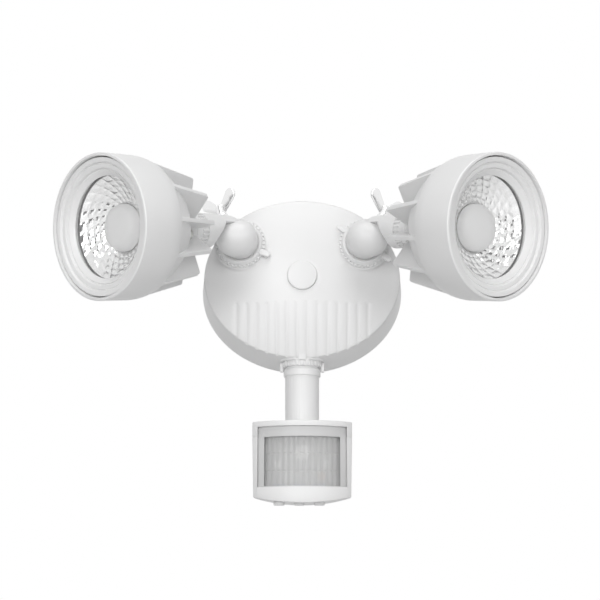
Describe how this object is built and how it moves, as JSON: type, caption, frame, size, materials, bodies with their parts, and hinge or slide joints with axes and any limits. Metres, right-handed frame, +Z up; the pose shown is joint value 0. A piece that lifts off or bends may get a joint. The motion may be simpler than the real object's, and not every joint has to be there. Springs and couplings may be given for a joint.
{
  "type": "motion sensor security light",
  "caption": "Wall light with an oval domed canopy, finned round lamp heads on swivel arms, and a motion sensor on a stem below.",
  "frame": {"origin": "centre of the canopy's back face, on the wall plane, midway between the two box screws", "axes": "+Y into the wall along the box screws, +Z up, +X to the right of someone facing the light"},
  "size_m": [0.2742, 0.1605, 0.1885],
  "materials": {
    "white_paint": "white satin paint on die-cast aluminium",
    "white_plastic": "satin",
    "bezel_paint": "white semi-gloss paint on die-cast aluminium",
    "frame_plastic": "satin",
    "zinc_steel": "bright zinc plated",
    "wing_screw_steel": "polished",
    "green_steel": "satin",
    "driver_case": "matte",
    "cable_sheath": "matte",
    "gasket_rubber": "matte",
    "clear_glass": "polished clear",
    "bright_reflector": "bright metallised, faceted",
    "frosted_plastic": "frosted",
    "led_board_white": "white solder mask",
    "phosphor": "matte",
    "lens_plastic": "milky, fluted",
    "circuit_board": "satin",
    "relay_plastic": "matte",
    "holder_plastic": "matte",
    "sensor_can": "bright",
    "photocell_resin": "clear resin",
    "adjuster_plastic": "matte"
  },
  "bodies": {
    "canopy": {"canopy_shell": "white_paint", "wall_gasket": "gasket_rubber", "mounting_bar": "zinc_steel", "centre_screw": "zinc_steel", "centre_plug": "white_plastic", "ground_screw": "green_steel", "led_driver": "driver_case", "driver_screws": "zinc_steel", "lamp_leads": "cable_sheath", "sensor_lead": "cable_sheath", "arm_gaskets": "gasket_rubber"},
    "left_ring": {"left_lock_ring": "white_plastic"},
    "left_arm": {"left_elbow": "white_paint"},
    "left_screw": {"left_wing_screw": "wing_screw_steel"},
    "left_head": {"left_knuckle": "white_paint", "left_head_housing": "white_paint", "left_bezel": "bezel_paint", "left_lens": "clear_glass", "left_lens_gasket": "gasket_rubber", "left_reflector": "bright_reflector", "left_diffuser": "frosted_plastic", "left_led_board": "led_board_white", "left_led_emitter": "phosphor", "left_rear_screws": "zinc_steel"},
    "left_neck_lock": {"left_neck_ring": "white_plastic"},
    "right_ring": {"right_lock_ring": "white_plastic"},
    "right_arm": {"right_elbow": "white_paint"},
    "right_screw": {"right_wing_screw": "wing_screw_steel"},
    "right_head": {"right_knuckle": "white_paint", "right_head_housing": "white_paint", "right_bezel": "bezel_paint", "right_lens": "clear_glass", "right_lens_gasket": "gasket_rubber", "right_reflector": "bright_reflector", "right_diffuser": "frosted_plastic", "right_led_board": "led_board_white", "right_led_emitter": "phosphor", "right_rear_screws": "zinc_steel"},
    "right_neck_lock": {"right_neck_ring": "white_plastic"},
    "sensor_ring": {"sensor_lock_ring": "white_plastic"},
    "sensor": {"sensor_stem": "white_plastic", "stem_nut": "white_plastic", "sensor_hood": "white_plastic", "sensor_housing": "white_plastic", "sensor_back_cover": "white_plastic", "sensor_cover_screws": "zinc_steel", "sensor_front_frame": "frame_plastic", "fresnel_lens": "lens_plastic", "sensor_board": "circuit_board", "board_screws": "zinc_steel", "relay": "relay_plastic", "pir_holder": "holder_plastic", "pir_element": "sensor_can", "photocell": "photocell_resin", "potentiometers": "adjuster_plastic"},
    "time_knob": {"time_knob": "white_plastic"},
    "sensitivity_knob": {"sensitivity_knob": "white_plastic"},
    "light_level_knob": {"light_level_knob": "white_plastic"}
  },
  "joints": [
    {"name": "left_ring_turn", "type": "hinge", "parent": "canopy", "child": "left_ring", "pos_m": [-0.0374, -0.0494, 0.0196], "axis": [0, -1, 0], "range_deg": [0, 180]},
    {"name": "left_swivel", "type": "hinge", "parent": "canopy", "child": "left_arm", "pos_m": [-0.0374, -0.0614, 0.0196], "axis": [0, -1, 0], "range_deg": [-90, 90]},
    {"name": "left_tilt", "type": "hinge", "parent": "left_arm", "child": "left_head", "pos_m": [-0.04339, -0.0614, 0.018], "axis": [-0.2588, 0, 0.9659], "range_deg": [-46.4, 43.6]},
    {"name": "left_screw_turn", "type": "hinge", "parent": "left_arm", "child": "left_screw", "pos_m": [-0.04339, -0.0614, 0.018], "axis": [-0.2588, 0, 0.9659], "range_deg": [0, 270]},
    {"name": "left_neck_ring_turn", "type": "hinge", "parent": "left_head", "child": "left_neck_lock", "pos_m": [-0.06416, -0.0824, 0.01823], "axis": [-0.6661, -0.7242, -0.1785], "range_deg": [0, 180]},
    {"name": "right_ring_turn", "type": "hinge", "parent": "canopy", "child": "right_ring", "pos_m": [0.0374, -0.0494, 0.0196], "axis": [0, -1, 0], "range_deg": [0, 180]},
    {"name": "right_swivel", "type": "hinge", "parent": "canopy", "child": "right_arm", "pos_m": [0.0374, -0.0614, 0.0196], "axis": [0, -1, 0], "range_deg": [-90, 90]},
    {"name": "right_tilt", "type": "hinge", "parent": "right_arm", "child": "right_head", "pos_m": [0.04333, -0.0614, 0.01781], "axis": [0.289, 0, 0.9573], "range_deg": [-40.3, 49.7]},
    {"name": "right_screw_turn", "type": "hinge", "parent": "right_arm", "child": "right_screw", "pos_m": [0.04333, -0.0614, 0.01781], "axis": [0.289, 0, 0.9573], "range_deg": [0, 270]},
    {"name": "right_neck_ring_turn", "type": "hinge", "parent": "right_head", "child": "right_neck_lock", "pos_m": [0.06291, -0.08352, 0.01775], "axis": [0.6192, -0.7627, -0.1869], "range_deg": [0, 180]},
    {"name": "sensor_ring_turn", "type": "hinge", "parent": "canopy", "child": "sensor_ring", "pos_m": [0, -0.027, -0.0515], "axis": [0, 0, 1], "range_deg": [0, 180]},
    {"name": "sensor_swivel", "type": "hinge", "parent": "canopy", "child": "sensor", "pos_m": [0, -0.027, -0.07], "axis": [0, 0, 1], "range_deg": [-60, 60]},
    {"name": "time_knob_turn", "type": "hinge", "parent": "sensor", "child": "time_knob", "pos_m": [-0.0136, -0.036, -0.1334], "axis": [0, 0, 1], "range_deg": [-135, 135]},
    {"name": "sensitivity_knob_turn", "type": "hinge", "parent": "sensor", "child": "sensitivity_knob", "pos_m": [-0.0018, -0.036, -0.1334], "axis": [0, 0, 1], "range_deg": [-135, 135]},
    {"name": "light_level_knob_turn", "type": "hinge", "parent": "sensor", "child": "light_level_knob", "pos_m": [0.01, -0.036, -0.1334], "axis": [0, 0, 1], "range_deg": [-135, 135]}
  ]
}
